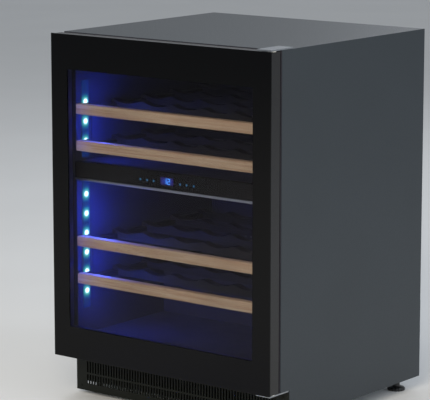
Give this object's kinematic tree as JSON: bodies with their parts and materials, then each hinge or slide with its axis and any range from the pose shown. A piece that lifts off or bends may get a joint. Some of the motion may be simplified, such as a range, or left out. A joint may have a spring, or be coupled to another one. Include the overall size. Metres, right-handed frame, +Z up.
{
  "type": "wine cooler",
  "caption": "Built-under wine cooler with a hinged dark glass door, sliding slatted wooden shelves, a lit interior split into zones and a ventilated plinth.",
  "frame": {"origin": "on the floor, under the middle of the cooler's bounding box", "axes": "+X to the right of someone who faces the door, +Y to the back, +Z up; the door faces -Y"},
  "size_m": [0.594, 0.57, 0.8193],
  "materials": {
    "painted_steel": "satin black powder coat",
    "zinc_sheet": "galvanised sheet",
    "zinc_steel": "zinc plated",
    "foam": "rigid polyurethane foam",
    "liner_plastic": "vacuum-formed, fine satin",
    "black_plastic": "moulded matt",
    "fan_plastic": "moulded satin",
    "white_plastic": "moulded satin",
    "panel_plastic": "polished dark brown",
    "plinth_paint": "satin olive grey paint",
    "frame_paint": "satin black powder coat",
    "display": "backlit blue",
    "circuit_board": "solder mask",
    "led_cover": "frosted diffuser",
    "beech": "sanded and lacquered",
    "black_stain": "stained black and lacquered",
    "aluminium": "mill finish",
    "spacer_aluminium": "anodised",
    "compressor_paint": "stoved black enamel",
    "copper": "drawn copper",
    "black_glass": "tempered, tinted, black printed border",
    "clear_glass": "tempered clear",
    "rubber": "soft extruded, matt"
  },
  "bodies": {
    "cabinet": {"outer_wrapper": "painted_steel", "back_panel": "zinc_sheet", "base_plate": "zinc_sheet", "insulation_pan": "zinc_sheet", "foam_insulation": "foam", "inner_liner": "liner_plastic", "zone_divider": "liner_plastic", "rear_cover": "zinc_sheet", "mains_inlet": "black_plastic", "plinth_grille": "plinth_paint", "hinge_bracket_upper": "zinc_steel", "hinge_bracket_lower": "zinc_steel", "control_panel": "panel_plastic", "control_display": "display", "control_board": "circuit_board", "led_strip_upper": "led_cover", "led_strip_lower": "led_cover", "compressor": "compressor_paint", "compressor_terminal_cover": "black_plastic", "drain_tube": "white_plastic", "drip_tray": "black_plastic", "condenser": "aluminium", "condenser_fan_shroud": "black_plastic", "filter_drier": "copper", "discharge_line": "copper", "suction_line": "copper", "shelf_support_left_upper": "liner_plastic", "shelf_support_right_upper": "liner_plastic", "duct_cover_upper": "liner_plastic", "evaporator_upper": "aluminium", "fan_motor_upper": "black_plastic", "temperature_sensor_upper": "white_plastic", "shelf_support_left_lower": "liner_plastic", "shelf_support_right_lower": "liner_plastic", "duct_cover_lower": "liner_plastic", "evaporator_lower": "aluminium", "fan_motor_lower": "black_plastic", "temperature_sensor_lower": "white_plastic"},
    "door": {"door_glass_outer": "black_glass", "door_frame": "frame_paint", "glass_spacer": "spacer_aluminium", "door_glass_inner": "clear_glass", "door_gasket": "rubber", "hinge_bush_lower": "white_plastic", "hinge_bush_upper": "white_plastic"},
    "shelf_1": {"shelf_front_1": "beech", "shelf_rack_1": "black_stain"},
    "shelf_2": {"shelf_front_2": "beech", "shelf_rack_2": "black_stain"},
    "shelf_3": {"shelf_front_3": "beech", "shelf_rack_3": "black_stain"},
    "shelf_4": {"shelf_front_4": "beech", "shelf_rack_4": "black_stain"},
    "circulation_fan_upper": {"circulation_fan_upper": "fan_plastic"},
    "circulation_fan_lower": {"circulation_fan_lower": "fan_plastic"},
    "condenser_fan": {"condenser_fan": "fan_plastic"},
    "foot_front_left": {"levelling_foot_front_left": "black_plastic"},
    "foot_front_right": {"levelling_foot_front_right": "black_plastic"},
    "foot_rear_left": {"levelling_foot_rear_left": "black_plastic"},
    "foot_rear_right": {"levelling_foot_rear_right": "black_plastic"}
  },
  "joints": [
    {"name": "door_hinge", "type": "hinge", "parent": "cabinet", "child": "door", "pos_m": [0.2875, -0.267, 0.1], "axis": [0, 0, 1], "range_deg": [0, 110]},
    {"name": "shelf_1_slide", "type": "slide", "parent": "cabinet", "child": "shelf_1", "axis": [0, -1, 0], "range_m": [0, 0.3]},
    {"name": "shelf_2_slide", "type": "slide", "parent": "cabinet", "child": "shelf_2", "axis": [0, -1, 0], "range_m": [0, 0.3]},
    {"name": "shelf_3_slide", "type": "slide", "parent": "cabinet", "child": "shelf_3", "axis": [0, -1, 0], "range_m": [0, 0.3]},
    {"name": "shelf_4_slide", "type": "slide", "parent": "cabinet", "child": "shelf_4", "axis": [0, -1, 0], "range_m": [0, 0.3]},
    {"name": "circulation_fan_upper_spin", "type": "hinge", "parent": "cabinet", "child": "circulation_fan_upper", "pos_m": [0, 0.2097, 0.685], "axis": [0, 1, 0], "continuous": true},
    {"name": "circulation_fan_lower_spin", "type": "hinge", "parent": "cabinet", "child": "circulation_fan_lower", "pos_m": [0, 0.2097, 0.438], "axis": [0, 1, 0], "continuous": true},
    {"name": "condenser_fan_spin", "type": "hinge", "parent": "cabinet", "child": "condenser_fan", "pos_m": [-0.135, 0.191, 0.0968], "axis": [1, 0, 0], "continuous": true},
    {"name": "foot_front_left_turn", "type": "hinge", "parent": "cabinet", "child": "foot_front_left", "pos_m": [-0.26, -0.175, 0.015], "axis": [0, 0, 1], "continuous": true},
    {"name": "foot_front_right_turn", "type": "hinge", "parent": "cabinet", "child": "foot_front_right", "pos_m": [0.26, -0.175, 0.015], "axis": [0, 0, 1], "continuous": true},
    {"name": "foot_rear_left_turn", "type": "hinge", "parent": "cabinet", "child": "foot_rear_left", "pos_m": [-0.26, 0.2435, 0.015], "axis": [0, 0, 1], "continuous": true},
    {"name": "foot_rear_right_turn", "type": "hinge", "parent": "cabinet", "child": "foot_rear_right", "pos_m": [0.26, 0.2435, 0.015], "axis": [0, 0, 1], "continuous": true}
  ],
  "couplings": [
    {"joint": "shelf_1_slide", "follows": "door_hinge", "m_per_rad": 0.055},
    {"joint": "shelf_2_slide", "follows": "door_hinge", "m_per_rad": 0.055},
    {"joint": "shelf_3_slide", "follows": "door_hinge", "m_per_rad": 0.055},
    {"joint": "shelf_4_slide", "follows": "door_hinge", "m_per_rad": 0.055}
  ]
}
